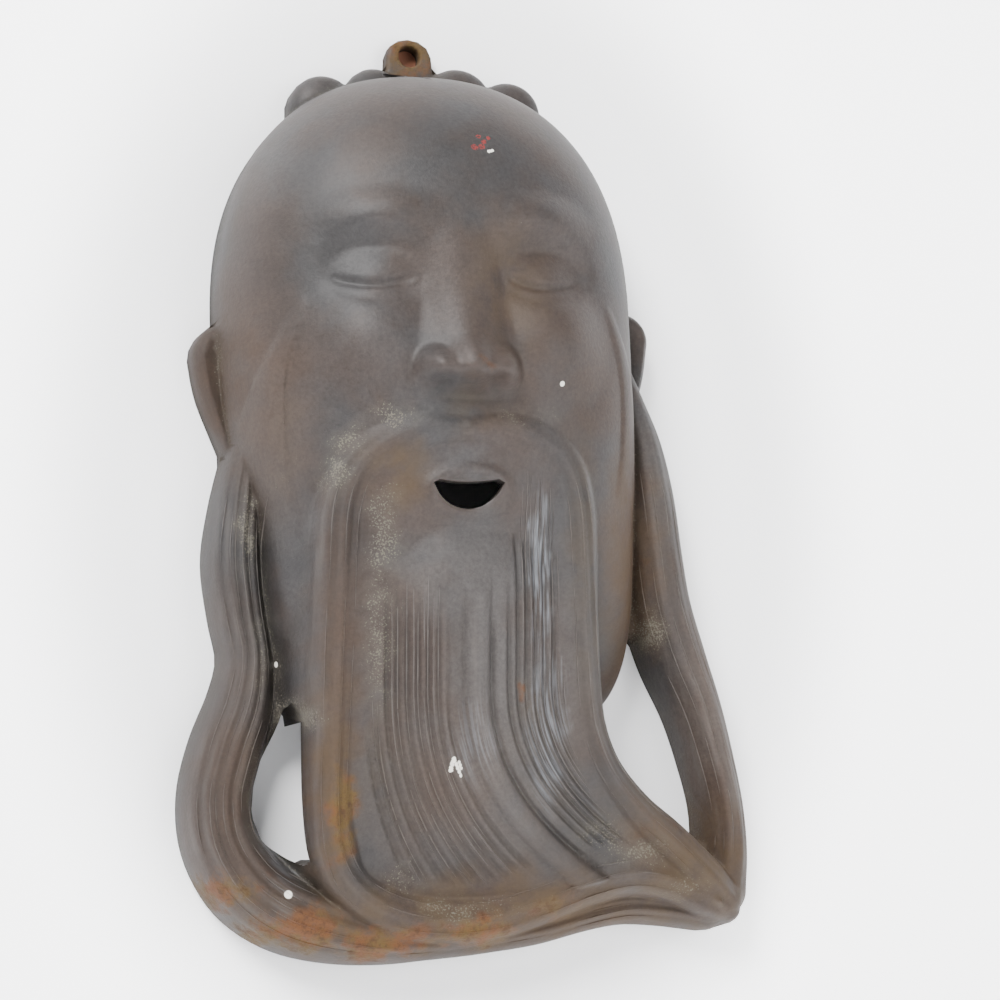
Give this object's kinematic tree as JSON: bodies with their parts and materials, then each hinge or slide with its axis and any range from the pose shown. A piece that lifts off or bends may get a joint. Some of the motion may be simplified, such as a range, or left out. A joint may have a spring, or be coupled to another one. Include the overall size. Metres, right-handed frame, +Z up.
{
  "type": "deity wall plaque",
  "caption": "Cast metal wall plaque of a bearded elder's head with closed eyes, drooping moustache, side locks and swept beard; open hollow back and a nail lug above the crown.",
  "frame": {"origin": "centre of the nail hole in the lug, on the wall plane", "axes": "+Z up as the plaque hangs, +Y into the wall, so the face looks along -Y; +X is the viewer's right"},
  "size_m": [0.1568, 0.0581, 0.2541],
  "materials": {
    "patinated_brass": "satin"
  },
  "bodies": {
    "root": {"casting": "patinated_brass"}
  },
  "joints": []
}
